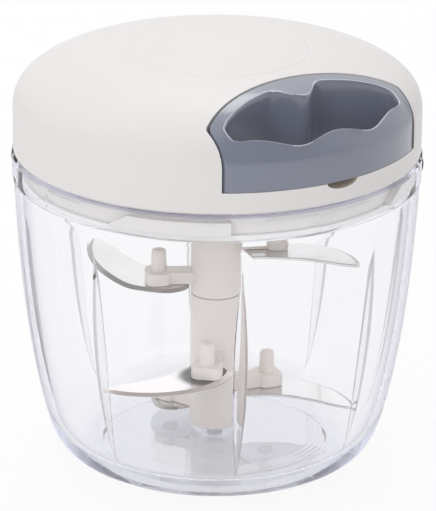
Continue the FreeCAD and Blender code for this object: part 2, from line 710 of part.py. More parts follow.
def lower_hub():
    parts = [cyl(SHAFT_R, SHAFT_FOOT_Z, JOINT_Z), hexagon(STACK_HEX, JOINT_Z - 1.0, STACK_TOP_Z)]
    for row, shape in zip(LOWER_TIER, LOWER_ARMS):
        parts += arm_solids(row[0], row[1], shape)
    body = fuse_all(parts)
    return body.cut(cyl(PIN_R + RUN, SHAFT_FOOT_Z - 1.0, PIN_TOP_Z + 1.0))


def upper_hub():
    parts = [cyl(SHAFT_R, JOINT_Z, UPPER_TOP_Z), hexagon(DRIVE_HEX, UPPER_TOP_Z - 1.0, DRIVE_TOP_Z)]
    for row, shape in zip(UPPER_TIER, UPPER_ARMS):
        parts += arm_solids(row[0], row[1], shape)
    body = fuse_all(parts)
    return body.cut(hexagon(STACK_HEX + 2.0 * HEX_PLAY, JOINT_Z - 1.0, STACK_TOP_Z + 0.3))


# ---------------------------------------------------------------- output
def main():
    os.makedirs("parts", exist_ok=True)
    save(bowl_body(), "bowl")
    save(pivot_pin(), "pivot_pin")
    save(seal_ring(), "seal_ring")
    save(lid_cover(), "lid_cover")
    save(lid_base(), "lid_base")
    save(lid_screws(), "lid_screws")
    save(shaft_bush(), "shaft_bush")
    save(spool_washer(), "spool_washer")
    save(spool_screw(), "spool_screw")
    save(cord_eyelet(), "cord_eyelet")
    save(handle(), "handle")
    save(cord_knot(), "cord_knot")
    save(cord_run(), "cord_run")
    save(cord_winding(), "cord_winding")
    save(spool(), "spool")
    save(spring_cover(), "spring_cover")
    save(mainspring(), "mainspring")
    save(driver(), "driver")
    for k in range(PAWLS):
        save(pawl(30.0 + 120.0 * k), "pawl_%d" % (k + 1))
    save(lower_hub(), "lower_hub")
    save(upper_hub(), "upper_hub")
    for k, row in enumerate(LOWER_TIER + UPPER_TIER):
        save(blade(*row), "blade_%d" % (k + 1))


main()
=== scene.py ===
import math
from bisect import bisect_left

import bmesh
import bpy
from mathutils import Matrix, Vector


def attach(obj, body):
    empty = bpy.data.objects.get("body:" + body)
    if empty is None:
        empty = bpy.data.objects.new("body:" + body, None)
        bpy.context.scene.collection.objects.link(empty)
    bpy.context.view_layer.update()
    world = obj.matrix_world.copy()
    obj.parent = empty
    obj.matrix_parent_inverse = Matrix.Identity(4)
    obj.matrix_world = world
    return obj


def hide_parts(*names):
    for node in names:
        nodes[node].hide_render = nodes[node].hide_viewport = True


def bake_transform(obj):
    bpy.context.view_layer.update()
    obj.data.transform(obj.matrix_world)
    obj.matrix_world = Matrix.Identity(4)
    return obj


# Pull-cord food chopper, dressed. Shapes are drawn in millimetres and turned
# into metres when a piece is finished. Bearings are degrees from -Y towards +X.

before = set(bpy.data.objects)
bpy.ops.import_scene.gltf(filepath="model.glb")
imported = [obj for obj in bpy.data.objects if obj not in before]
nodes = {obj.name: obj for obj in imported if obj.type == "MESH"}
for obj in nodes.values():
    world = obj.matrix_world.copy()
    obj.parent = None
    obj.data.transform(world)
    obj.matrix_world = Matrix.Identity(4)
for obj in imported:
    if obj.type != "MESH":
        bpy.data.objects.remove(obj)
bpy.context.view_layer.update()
scene = bpy.context.scene

MM = 0.001
# the clear plastic: how it bends light, the painted shade on its grazing edges, floor and collar
# top, its gloss, and the painted shade on the ribs' edges and middles
GLASS_BEND = 1.06
GRAZING_SHADE, BOWL_FLOOR_SHADE, COLLAR_TOP_SHADE = (0.50, 0.50, 0.62), (0.71, 0.715, 0.735), (0.60, 0.59, 0.76)
COAT_WALL, COAT_FLOOR = 0.18, 1.0
RIB_EDGE_SHADE, RIB_CORE_SHADE = (0.42, 0.40, 0.42), (0.92, 0.90, 0.90)


# ------------------------------------------------------------- drawing helpers
def polar(r, bearing, z=0.0):
    a = math.radians(bearing - 90.0)
    return Vector((r * math.cos(a), r * math.sin(a), z))


def radius_at(line):
    """The radius of a rising line of (radius, height) points at any height."""
    heights = [p[1] for p in line]

    def radius(z):
        k = min(len(line) - 1, max(1, bisect_left(heights, z)))
        (r0, z0), (r1, z1) = line[k - 1], line[k]
        return blend(r0, r1, min(1.0, max(0.0, (z - z0) / (z1 - z0))))

    return radius


def ease(x):
    x = min(1.0, max(0.0, x))
    return x * x * (3.0 - 2.0 * x)


def blend(a, b, t):
    return a + (b - a) * t


def bezier(poles, steps):
    out = []
    for k in range(steps + 1):
        row = [Vector(p) for p in poles]
        while len(row) > 1:
            row = [a.lerp(b, k / steps) for a, b in zip(row, row[1:])]
        out.append(row[0])
    return out


def rounded(points, radius, steps=3, closed=False):
    """The same line with its corners eased over a small radius."""
    pts = [Vector(p) for p in points]
    last = len(pts) - 1
    out = []
    for k, p in enumerate(pts):
        if not closed and k in (0, last):
            out.append(p)
            continue
        a, b = pts[k - 1] - p, pts[(k + 1) % len(pts)] - p
        if a.length < 1e-6 or b.length < 1e-6 or a.angle(-b) < math.radians(12):
            out.append(p)
            continue
        cut = min(radius, 0.4 * a.length, 0.4 * b.length)
        out += bezier([p + a.normalized() * cut, p, p + b.normalized() * cut], steps)
    return out


def through(points, count):
    """A smooth line through the points, as count + 1 evenly spaced ones."""
    pts = [Vector(p) for p in points]
    pts = [pts[0] * 2 - pts[1]] + pts + [pts[-1] * 2 - pts[-2]]
    fine = []
    for a, b, c, d in zip(pts, pts[1:], pts[2:], pts[3:]):
        for k in range(16):
            t = k / 16
            fine.append(0.5 * ((2 * b) + (c - a) * t + (2 * a - 5 * b + 4 * c - d) * t * t
                               + (3 * b - a - 3 * c + d) * t ** 3))
    fine.append(pts[-2])
    return evenly(fine, count)


def evenly(line, count):
    """count + 1 points of the line at even steps of its length."""
    reach = [0.0]
    for a, b in zip(line, line[1:]):
        reach.append(reach[-1] + (b - a).length)
    out, k = [], 0
    for n in range(count + 1):
        want = reach[-1] * n / count
        while k < len(line) - 2 and reach[k + 1] < want:
            k += 1
        span = reach[k + 1] - reach[k]
        out.append(line[k].lerp(line[k + 1], (want - reach[k]) / span if span else 0.0))
    return out


# ------------------------------------------------------------- mesh helpers
def spun(profile, steps, closed=False):
    """A profile of (radius, height) turned once round the shaft's axis."""
    bm = bmesh.new()
    verts = [bm.verts.new((p[0], 0.0, p[1])) for p in profile]
    edges = [bm.edges.new(pair) for pair in zip(verts, verts[1:])]
    if closed:
        edges.append(bm.edges.new((verts[-1], verts[0])))
    bmesh.ops.spin(bm, geom=verts + edges, cent=(0, 0, 0), axis=(0, 0, 1), dvec=(0, 0, 0),
                   angle=math.tau, steps=steps, use_merge=True, use_duplicate=False)
    bmesh.ops.remove_doubles(bm, verts=bm.verts, dist=1e-4)
    return bm


def drawn(rows, ring=False):
    """Rows of points skinned one after another: each row is extruded into the next."""
    bm = bmesh.new()
    now = [bm.verts.new(p) for p in rows[0]]
    edges = [bm.edges.new(pair) for pair in zip(now, now[1:] + now[:1])]
    first = list(edges)
    for row in rows[1:]:
        made = bmesh.ops.extrude_edge_only(bm, edges=edges)["geom"]
        fresh = {g for g in made if isinstance(g, bmesh.types.BMVert)}
        after = []
        for old, place in zip(now, row):
            new = next(e.other_vert(old) for e in old.link_edges if e.other_vert(old) in fresh)
            new.co = place
            after.append(new)
        edges = [g for g in made if isinstance(g, bmesh.types.BMEdge)
                 and g.verts[0] in fresh and g.verts[1] in fresh]
        now = after
    if ring:
        bmesh.ops.bridge_loops(bm, edges=first + edges)
    else:
        bmesh.ops.contextual_create(bm, geom=first)
        bmesh.ops.contextual_create(bm, geom=edges)
    bmesh.ops.recalc_face_normals(bm, faces=bm.faces)
    return bm


def prism(outline, z0, z1):
    """An outline of (x, y) points drawn up from z0 to z1."""
    return drawn([[Vector((p[0], p[1], z)) for p in outline] for z in (z0, z1)])


def block(x0, x1, y0, y1, z0, z1):
    bm = bmesh.new()
    bmesh.ops.create_cube(bm, size=1.0)
    bmesh.ops.scale(bm, vec=(x1 - x0, y1 - y0, z1 - z0), verts=bm.verts)
    bmesh.ops.translate(bm, vec=((x0 + x1) / 2, (y0 + y1) / 2, (z0 + z1) / 2), verts=bm.verts)
    return bm


def rod(r0, r1, start, end, steps=48):
    """A round rod, or a taper, from one point to another."""
    start, end = Vector(start), Vector(end)
    bm = bmesh.new()
    bmesh.ops.create_cone(bm, cap_ends=True, segments=steps, radius1=r0, radius2=r1,
                          depth=(end - start).length)
    bmesh.ops.rotate(bm, matrix=(end - start).to_track_quat("Z", "Y").to_matrix(),
                     cent=(0, 0, 0), verts=bm.verts)
    bmesh.ops.translate(bm, vec=(start + end) / 2, verts=bm.verts)
    return bm


def soften(bm, width, angle=28.0, segments=2):
    """Rounds every edge that turns by more than the angle."""
    edges = [e for e in bm.edges if len(e.link_faces) == 2
             and e.calc_face_angle(0.0) > math.radians(angle)]
    bmesh.ops.bevel(bm, geom=edges, offset=width, offset_type="OFFSET", segments=segments,
                    profile=0.5, affect="EDGES", material=-1, clamp_overlap=True)
    return bm


def turned(bm, degrees, cent=(0, 0, 0)):
    bmesh.ops.rotate(bm, cent=cent, matrix=Matrix.Rotation(math.radians(degrees), 3, "Z"),
                     verts=bm.verts)
    return bm


def loose_object(bm, name):
    mesh = bpy.data.meshes.new(name)
    bm.to_mesh(mesh)
    bm.free()
    o = bpy.data.objects.new(name, mesh)
    scene.collection.objects.link(o)
    return o


def carved(base, steps):
    """base with each (operation, other) of steps applied in turn."""
    body = loose_object(base, "work")
    others = []
    for operation, other in steps:
        o = loose_object(other, "tool")
        others.append(o)
        m = body.modifiers.new("cut", "BOOLEAN")
        m.operation, m.solver, m.object = operation, "EXACT", o
    shaped = body.evaluated_get(bpy.context.evaluated_depsgraph_get())
    bm = bmesh.new()
    bm.from_mesh(shaped.to_mesh())
    shaped.to_mesh_clear()
    for o in [body] + others:
        bpy.data.objects.remove(o)
    bmesh.ops.remove_doubles(bm, verts=bm.verts, dist=1e-4)
    return bm


def fitted(piece, body, node):
    """The piece moves with its body and stands in for its node of the solid model."""
    if body:
        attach(piece, body)
    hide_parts(node)
    return piece


def finished(name, bm, material, body, node, crisp=32.0):
    """The piece itself: metres, normals outwards, smooth but for its crisp edges."""
    bmesh.ops.recalc_face_normals(bm, faces=bm.faces)
    bmesh.ops.scale(bm, vec=(MM, MM, MM), verts=bm.verts)
    piece = loose_object(bm, name)
    piece.data.polygons.foreach_set("use_smooth", [True] * len(piece.data.polygons))
    piece.data.set_sharp_from_angle(angle=math.radians(crisp))
    piece.data.materials.append(material)
    piece.modifiers.new("even_shading", "WEIGHTED_NORMAL").keep_sharp = True
    return fitted(piece, body, node)


# ------------------------------------------------------------- materials
def socketed_group(name, inputs, outputs):
    group = bpy.data.node_groups.new(name, "ShaderNodeTree")
    for label, kind, value in inputs:
        s = group.interface.new_socket(name=label, in_out="INPUT", socket_type=kind)
        if value is not None:
            s.default_value = value
    for label, kind in outputs:
        group.interface.new_socket(name=label, in_out="OUTPUT", socket_type=kind)
    return group, group.nodes.new("NodeGroupInput"), group.nodes.new("NodeGroupOutput")


def made_node(tree, kind, links=(), **values):
    """A node with its fields set, and its inputs set or linked by name or number."""
    n = tree.nodes.new(kind)
    for key, value in values.items():
        setattr(n, key, value)
    for key, value in links:
        if isinstance(value, bpy.types.NodeSocket):
            tree.links.new(value, n.inputs[key])
        else:
            n.inputs[key].default_value = value
    return n


def noise(tree, place, scale, detail=2.0):
    return made_node(tree, "ShaderNodeTexNoise", [("Vector", place), ("Scale", scale),
                                                  ("Detail", detail)]).outputs["Fac"]


def maths(tree, operation, *values):
    return made_node(tree, "ShaderNodeMath", enumerate(values), operation=operation).outputs[0]


def vector_maths(tree, operation, *values):
    n = made_node(tree, "ShaderNodeVectorMath", enumerate(values), operation=operation)
    return n.outputs["Vector" if operation == "MULTIPLY" else "Value"]


def mapped(tree, value, reach, to=(0.0, 1.0), smooth=False):
    """The value carried from its reach to another one, and held at both ends."""
    return made_node(tree, "ShaderNodeMapRange",
                     [("Value", value), ("From Min", reach[0]), ("From Max", reach[1]),
                      ("To Min", to[0]), ("To Max", to[1])],
                     interpolation_type="SMOOTHSTEP" if smooth else "LINEAR").outputs[0]


def between(tree, share, first, second, way="MIX"):
    """A colour between two others, each a plain colour or another node's."""
    ends = [c if isinstance(c, bpy.types.NodeSocket) else (*c, 1.0) for c in (first, second)]
    return made_node(tree, "ShaderNodeMix", [("Factor", share), (6, ends[0]), (7, ends[1])],
                     data_type="RGBA", blend_type=way).outputs[2]


def one_or_other(tree, share, first, second):
    """One shader blended into another."""
    return made_node(tree, "ShaderNodeMixShader", [(0, share), (1, first),
                                                   (2, second)]).outputs[0]


def moulded_skin():
    """Moulded plastic: a slow drift of shade and the faint waviness of a mould."""
    g, gi, go = socketed_group(
        "moulded_skin",
        [("Place", "NodeSocketVector", None), ("Drift", "NodeSocketFloat", 22.0),
         ("Grain", "NodeSocketFloat", 900.0)],
        [("Shade", "NodeSocketFloat"), ("Height", "NodeSocketFloat")])
    slow = noise(g, gi.outputs["Place"], gi.outputs["Drift"], 3.0)
    fine = noise(g, gi.outputs["Place"], gi.outputs["Grain"], 4.0)
    shade = maths(g, "MULTIPLY_ADD", fine, 0.3, maths(g, "MULTIPLY", slow, 0.7))
    g.links.new(shade, go.inputs["Shade"])
    g.links.new(fine, go.inputs["Height"])
    return g


def brushed_grain():
    """Rolled and brushed steel: long fine streaks along one direction."""
    g, gi, go = socketed_group(
        "brushed_grain",
        [("Place", "NodeSocketVector", None), ("Fineness", "NodeSocketFloat", 2500.0),
         ("Stretch", "NodeSocketFloat", 0.03)],
        [("Streak", "NodeSocketFloat"), ("Cloud", "NodeSocketFloat")])
    place = gi.outputs["Place"]
    stretch = made_node(g, "ShaderNodeCombineXYZ", [("X", gi.outputs["Stretch"]), ("Y", 1.0),
                                                    ("Z", 1.0)]).outputs[0]
    long = vector_maths(g, "MULTIPLY", place, stretch)
    g.links.new(noise(g, long, gi.outputs["Fineness"], 3.0), go.inputs["Streak"])
    g.links.new(noise(g, place, 60.0), go.inputs["Cloud"])
    return g


SKIN = moulded_skin()
GRAIN = brushed_grain()


def blank_material(name):
    mat = bpy.data.materials.new(name)
    mat.use_nodes = True
    tree = mat.node_tree
    tree.nodes.clear()
    out = tree.nodes.new("ShaderNodeOutputMaterial")
    shader = tree.nodes.new("ShaderNodeBsdfPrincipled")
    place = tree.nodes.new("ShaderNodeTexCoord").outputs["Object"]
    tree.links.new(shader.outputs[0], out.inputs["Surface"])
    return mat, tree, out, shader, place


def steadied(tree, value, low=0.0, high=1.0):
    """The middle of a noise's reach spread over the whole of low to high."""
    return mapped(tree, value, (0.3, 0.7), (low, high))


def surfaced(tree, shader, colour, rough, height, strength, depth):
    lift = made_node(tree, "ShaderNodeBump", [("Height", height), ("Strength", strength),
                                              ("Distance", depth)])
    for label, value in (("Base Color", colour), ("Roughness", rough),
                         ("Normal", lift.outputs[0])):
        tree.links.new(value, shader.inputs[label])


def plastic(name, dark, light, rough, drift=22.0, grain=900.0, bump=0.02, coat=0.0,
            coat_rough=0.22):
    mat, tree, out, shader, place = blank_material(name)
    skin = made_node(tree, "ShaderNodeGroup", [("Place", place), ("Drift", drift),
                                               ("Grain", grain)], node_tree=SKIN)
    shade = skin.outputs["Shade"]
    surfaced(tree, shader, between(tree, steadied(tree, shade), dark, light),
             steadied(tree, shade, *rough), skin.outputs["Height"], bump, 0.0004)
    shader.inputs["Coat Weight"].default_value = coat
    shader.inputs["Coat Roughness"].default_value = coat_rough
    return mat


def steel(name, dark, light, rough, turn=0.0, fineness=2500.0, bump=0.05, painted_shade_at=None):
    """Brushed steel, with painted shade darkening it towards one given point, if a point is given.
    """
    mat, tree, out, shader, place = blank_material(name)
    along_grain = made_node(tree, "ShaderNodeMapping", [("Vector", place),
                                                        ("Rotation", (0, 0, math.radians(turn)))])
    grain = made_node(tree, "ShaderNodeGroup", [("Place", along_grain.outputs[0]),
                                                ("Fineness", fineness)], node_tree=GRAIN)
    colour = between(tree, steadied(tree, grain.outputs["Cloud"]), dark, light)
    # painted shade: the metal darkens near the given point
    if painted_shade_at:
        away = vector_maths(tree, "DISTANCE", place, painted_shade_at * MM)
        near = mapped(tree, away, (0.007, 0.0108), (0.1, 1.0), smooth=True)
        colour = between(tree, 1.0, colour, near, "MULTIPLY")
    streak = grain.outputs["Streak"]
    surfaced(tree, shader, colour, steadied(tree, streak, *rough), streak, bump, 0.0001)
    shader.inputs["Metallic"].default_value = 1.0
    return mat


def clear_plastic():
    """Thin clear styrene: lamps pass through it, and long ways through it turn faintly violet."""
    mat, tree, out, shader, place = blank_material("clear_bowl_plastic")
    skin = made_node(tree, "ShaderNodeGroup", [("Place", place), ("Drift", 14.0),
                                               ("Grain", 120.0)], node_tree=SKIN)
    facing = made_node(tree, "ShaderNodeLayerWeight", [("Blend", 0.5)]).outputs["Facing"]
    # painted shade: where the plastic is seen edge-on, its colour turns towards the grazing shade
    rim = mapped(tree, facing, (0.6, 1.0), smooth=True)
    height = made_node(tree, "ShaderNodeSeparateXYZ", [(0, place)]).outputs["Z"]
    off_axis = vector_maths(tree, "LENGTH", vector_maths(tree, "MULTIPLY", place, (1.0, 1.0, 0.0)))
    on_floor = maths(tree, "MULTIPLY", mapped(tree, height, (0.0056, 0.012), (1.0, 0.0)),
                     mapped(tree, off_axis, (0.038, 0.044), (1.0, 0.15)))
    on_top = mapped(tree, height, (0.1008, 0.1012))
    clean = between(tree, steadied(tree, skin.outputs["Shade"]), (0.985, 0.985, 0.99),
                    (1.0, 1.0, 1.0))
    wall = between(tree, rim, clean, GRAZING_SHADE)
    # painted shadow: the bowl's floor is greyed to stand for the shade under the shaft and blades
    # seen through it
    foot = between(tree, rim, BOWL_FLOOR_SHADE, GRAZING_SHADE)
    # painted shade: the collar's top face turns dark violet
    colour = between(tree, on_top, between(tree, on_floor, wall, foot), COLLAR_TOP_SHADE)
    # painted shade: the ribs' flanks darken, and their middles a little, where the lens-shaped ribs
    # bend light
    across = made_node(tree, "ShaderNodeAttribute", attribute_name="rib").outputs["Fac"]
    ribs = made_node(tree, "ShaderNodeValToRGB", [("Fac", across)])
    ramp = ribs.color_ramp.elements
    ramp[0].position, ramp[0].color = 0.0, (1.0, 1.0, 1.0, 1.0)
    ramp[1].position, ramp[1].color = 1.0, (*RIB_CORE_SHADE, 1.0)
    for at, shade in ((0.05, RIB_EDGE_SHADE), (0.2, RIB_EDGE_SHADE), (0.36, RIB_CORE_SHADE)):
        ramp.new(at).color = (*shade, 1.0)
    tree.links.new(between(tree, 1.0, colour, ribs.outputs["Color"], "MULTIPLY"),
                   shader.inputs["Base Color"])
    gloss = maths(tree, "MULTIPLY_ADD", on_floor, COAT_FLOOR - COAT_WALL, COAT_WALL)
    tree.links.new(maths(tree, "MULTIPLY", gloss, maths(tree, "SUBTRACT", 1.0, rim)),
                   shader.inputs["Coat Weight"])
    for label, value in (("Roughness", 0.0), ("IOR", GLASS_BEND), ("Transmission Weight", 1.0),
                         ("Coat IOR", 3.0), ("Coat Roughness", 0.0),
                         ("Coat Tint", (0.985, 0.985, 0.995, 1.0))):
        shader.inputs[label].default_value = value
    path = tree.nodes.new("ShaderNodeLightPath")
    passing = made_node(tree, "ShaderNodeBsdfTransparent", [("Color", (0.97, 0.97, 0.985, 1.0))])
    tree.links.new(one_or_other(tree, path.outputs["Is Shadow Ray"], shader.outputs[0],
                                passing.outputs[0]), out.inputs["Surface"])
    tint = made_node(tree, "ShaderNodeVolumeAbsorption", [("Color", (0.40, 0.42, 0.62, 1.0)),
                                                          ("Density", 11.0)])
    tree.links.new(tint.outputs[0], out.inputs["Volume"])
    return mat


CLEAR = clear_plastic()
CREAM = plastic("cream_lid_plastic", (0.76, 0.736, 0.728), (0.78, 0.756, 0.748), (0.4, 0.45),
                grain=160.0, bump=0.003)
CREAM_INNER = plastic("cream_base_plastic", (0.71, 0.69, 0.67), (0.76, 0.74, 0.72), (0.35, 0.45))
# painted shade: a tan, darker cream for the handle pocket's edges and the thumb scoop
CREAM_RECESS_SHADE = plastic("cream_recess_painted_shade", (0.52, 0.44, 0.36), (0.60, 0.52, 0.44), (0.4, 0.5))
WHITE = plastic("white_shaft_plastic", (0.72, 0.665, 0.625), (0.755, 0.70, 0.66), (0.38, 0.5))
BLUE_GREY = plastic("blue_grey_handle_plastic", (0.178, 0.195, 0.255), (0.203, 0.22, 0.283),
                    (0.3, 0.38), grain=2600.0, bump=0.03, coat=1.0, coat_rough=0.12)
# painted highlight: a light blue-grey for the handle's opening lip, where a glint of light runs
LIP_HIGHLIGHT = plastic("handle_lip_painted_highlight", (0.60, 0.62, 0.68), (0.68, 0.70, 0.76), (0.2, 0.3),
              grain=2600.0, coat=1.0, coat_rough=0.12)
SEAL = plastic("seal_silicone", (0.80, 0.80, 0.80), (0.86, 0.86, 0.86), (0.45, 0.6))
ACETAL = plastic("natural_acetal", (0.70, 0.70, 0.68), (0.76, 0.76, 0.74), (0.35, 0.5))
BLADE = steel("blade_steel", (0.70, 0.69, 0.685), (0.77, 0.76, 0.755), (0.1, 0.2))
# painted light and shade: a lighter copy of the blade steel for the front blade, darkened by
# painted shade around its pad
FRONT_BLADE_LIT_AND_SHADED = steel("front_blade_steel_painted_light_and_shade", (0.83, 0.80, 0.80), (0.90, 0.87, 0.87), (0.1, 0.2),
                    painted_shade_at=polar(18.4, -44.3, 31.0))
# the ground edge: rougher steel, darkened as a painted dark reflection
GROUND_DARK_REFLECTION = steel("ground_edge_steel_painted_dark_reflection", (0.36, 0.345, 0.335), (0.46, 0.44, 0.43), (0.28, 0.4),
               turn=60.0)
# painted light: a lighter copy of the ground edge for the front blade
FRONT_GROUND_LIGHTER_REFLECTION = steel("front_ground_edge_steel", (0.68, 0.62, 0.59), (0.76, 0.70, 0.67),
                     (0.28, 0.4), turn=60.0)
TURNED = steel("turned_steel", (0.50, 0.50, 0.51), (0.60, 0.60, 0.61), (0.2, 0.35))
CORD = plastic("braided_cord", (0.62, 0.62, 0.60), (0.80, 0.80, 0.78), (0.7, 0.9),
               grain=3200.0, bump=0.6)


# ------------------------------------------------------------- sizes
RIM_R, RIM_Z = 65.0, 101.9
COLLAR_BORE_R, COLLAR_Z, LEDGE_Z = 63.4, 93.3, 92.6
SEAT_R, SEAT_FOOT_Z = 60.9, 90.7
WALL_TOP_R, CORNER_R, CORNER_Z, BASE_R = 64.46, 54.66, 14.5, 40.2
WALL_MID, WALL_T = (62.27, 42.7), 2.6
FLOOR_Z, FLOOR_R, UNDER_R, UNDER_Z = 5.5, 39.4, 35.5, 1.2
RIB_BEARING, RIB_Z, RIB_W, RIB_IN = -28.7, (9.4, 82.0), 4.6, 1.7
LUG_BEARING, LUG_Z, LUG_R = -5.0, (99.2, 101.2), 62.0
NUB_BEARING, NUB_Z, NUB_R, NUB_HALF, NUB_RISE = -39.0, 97.9, 1.7, 1.36, 0.4
LID_R, LID_FOOT_Z, DOME_Z, DOME_H, LID_T = 64.59, 102.2, 114.7, 20.9, 2.4
DOME_OUT, DOME_UP = 2.15, 2.8
POCKET_Z, SCREW_AT = 108.9, (36.5, 30.6)
HANDLE_Z, HALF_W, BACK_Y, BACK_R, HANDLE_GAP, CREASE_R = 109.0, 36.3, -34.5, 70.0, 0.15, 64.15
SHAFT_R, BLADE_T, BEND_AT = 8.1, 0.9, 21.6
PAD_T, PAD_W, PAD_END, POST_AT, POST_H = 4.2, 9.8, 22.8, 18.4, 7.2
TIER_SPIGOT, DRIVE_KEY, TIER_SOCKET = 9.0, 10.1, 9.2
CORD_Z = 117.3


# ------------------------------------------------------------- bowl
# the turned bowl's columns: a quarter of the collar has one lug, an eighth of the wall one rib
BOWL_STEPS, LUG_SHIFT, EVEN_R = 480, 28, 30.0
LUG_COLUMNS, RIB_COLUMNS, RIB_SIDE = BOWL_STEPS // 4, BOWL_STEPS // 8, 9


def wall_line(r0, z0, mid, r1, z1, steps):
    return bezier([(r0, z0), mid, (r1, z1)], steps)


def corner_line(r_flat, z_flat, bulge, r_wall, z_wall, mid, lead, steps):
    before = (r_wall - (mid[0] - r_wall) * lead, z_wall - (mid[1] - z_wall) * lead)
    return bezier([(r_flat, z_flat), (r_flat + bulge, z_flat), before, (r_wall, z_wall)], steps)


def bowl_profile():
    inner_r, inner_mid = CORNER_R - WALL_T, (WALL_MID[0] - WALL_T, WALL_MID[1])
    line = [(0, UNDER_Z), (20, UNDER_Z), (UNDER_R, UNDER_Z), (UNDER_R + 1.2, 0.0), (BASE_R, 0.0)]
    line += corner_line(BASE_R, 0, 9.6, CORNER_R, CORNER_Z, WALL_MID, 0.24, 16)[1:]
    line += wall_line(CORNER_R, CORNER_Z, WALL_MID, WALL_TOP_R, COLLAR_Z, 22)[1:]
    line += [(RIM_R, COLLAR_Z + 0.6), (RIM_R, 95.6)]
    line += [(RIM_R, 95.6 + 0.42 * k) for k in range(1, 12)]
    line += [(RIM_R, RIM_Z - 0.7), (RIM_R - 0.7, RIM_Z), (COLLAR_BORE_R + 0.6, RIM_Z),
             (COLLAR_BORE_R, RIM_Z - 0.5), (COLLAR_BORE_R, LUG_Z[1] + 0.12),
             (COLLAR_BORE_R, LUG_Z[1]), (COLLAR_BORE_R, LUG_Z[0]),
             (COLLAR_BORE_R, LUG_Z[0] - 0.12), (COLLAR_BORE_R, 96.12), (COLLAR_BORE_R, 96.0),
             (COLLAR_BORE_R, LEDGE_Z), (SEAT_R, LEDGE_Z), (SEAT_R, LEDGE_Z - 0.9)]
    line += wall_line(WALL_TOP_R - WALL_T, SEAT_FOOT_Z, inner_mid, inner_r, CORNER_Z + 1, 44)
    line += corner_line(FLOOR_R, FLOOR_Z, 8.1, inner_r, CORNER_Z + 1, inner_mid, 0.2, 18)[-2::-1]
    line += [(FLOOR_R - 0.45 * k, FLOOR_Z - 0.05 * (1 - math.cos(k * math.pi / 2)))
             for k in range(1, 17)]
    line += [(20, FLOOR_Z), (7.0, FLOOR_Z), (7.0, 7.55), (2.56, 7.55), (2.56, 2.95), (0, 2.95)]
    return rounded(line, 0.3, 2)


def along(knots, x):
    """The value at x on straight steps between knots of (x, value)."""
    for (a, va), (b, vb) in zip(knots, knots[1:]):
        if a <= x <= b:
            return blend(va, vb, (x - a) / (b - a))
    return knots[-1][1]


# column of a quarter of the collar, and its degrees from the lug's middle
LUG_KNOTS = [(0, -45.0), (8, -38.5), (36, -29.5), (48, -17.15), (49, -17.0), (62, -1.35),
             (63, -1.2), (67, 2.8), (68, 2.95), (82, 17.0), (83, 17.15), (120, 45.0)]


def rib_half_width(z):
    half = (RIB_Z[1] - RIB_Z[0]) / 2
    mid = (RIB_Z[1] + RIB_Z[0]) / 2
    return max(0.0, RIB_W / 2 * (1.0 - ((z - mid) / half) ** 2))


def bowl():
    """The turned shell, with its columns drawn aside and in to make ribs, lugs and nubs."""
    rib_mid = WALL_MID[0] - WALL_T - RIB_IN
    rib_face_r = radius_at(bezier([(CORNER_R - WALL_T - RIB_IN, 8.0), (rib_mid, WALL_MID[1]),
                                   (WALL_TOP_R - WALL_T - RIB_IN, LEDGE_Z)], 60))
    wall_outer_r = radius_at(
        corner_line(BASE_R, 0, 9.6, CORNER_R, CORNER_Z, WALL_MID, 0.24, 24)
        + wall_line(CORNER_R, CORNER_Z, WALL_MID, WALL_TOP_R, COLLAR_Z, 24)[1:])
    bm = spun(bowl_profile(), BOWL_STEPS)
    rib = bm.verts.layers.float.new("rib")
    for v in bm.verts:
        r, z = math.hypot(v.co.x, v.co.y), v.co.z
        turn = math.degrees(math.atan2(v.co.y, v.co.x)) % 360.0
        column = round(turn / 360.0 * BOWL_STEPS)
        if r < EVEN_R:
            bearing = RIB_BEARING + 360.0 / BOWL_STEPS * column
        elif z > SEAT_FOOT_Z + 0.05:
            period, k = divmod(column + LUG_SHIFT, LUG_COLUMNS)
            rel = along(LUG_KNOTS, k)
            bearing = LUG_BEARING + 90.0 * period + rel
            if r < COLLAR_BORE_R + 0.05 and r > COLLAR_BORE_R - 0.3:
                on_lug = abs(rel) < 17.05 and LUG_Z[0] - 0.01 <= z <= LUG_Z[1] + 0.01
                on_stop = -1.25 <= rel <= 2.85 and 95.99 <= z <= LUG_Z[0] + 0.01
                if on_lug or on_stop:
                    r = LUG_R
            if r > RIM_R - 0.05:
                across = math.radians(rel + LUG_BEARING - NUB_BEARING) * RIM_R
                d = math.hypot(max(0.0, abs(across) - NUB_HALF) / NUB_R, (z - NUB_Z) / NUB_R)
                if d < 1.0:
                    r += NUB_RISE * math.sqrt(1.0 - d * d)
        else:
            period, k = divmod(column + RIB_COLUMNS // 2, RIB_COLUMNS)
            k -= RIB_COLUMNS // 2
            width = max(0.15, math.degrees(rib_half_width(z) / r))
            outside = [(RIB_SIDE, width), (RIB_SIDE + 1, width + 0.22), (RIB_COLUMNS // 2, 22.5)]
            if abs(k) <= RIB_SIDE:
                rel = width * k / RIB_SIDE
            else:
                rel = math.copysign(along(outside, abs(k)), k)
            bearing = RIB_BEARING + 45.0 * period + rel
            inner = r < wall_outer_r(z) - 0.5
            if inner and RIB_Z[0] - 0.5 < z < RIB_Z[1] + 0.5 and abs(k) < RIB_SIDE:
                swell = min(1.0, rib_half_width(z) / 0.8)
                depth = RIB_IN * math.sqrt(1.0 - (k / RIB_SIDE) ** 2) * swell
                r = min(r, rib_face_r(z) + RIB_IN - depth)
                # how far in from the rib's edge, which drives the painted shade on the rib's flanks
                v[rib] = (1.0 - abs(k) / RIB_SIDE) * swell
        v.co = polar(r, bearing, z)
    return bm


finished("bowl_shell", bowl(), CLEAR, "bowl", "bowl", crisp=55.0)


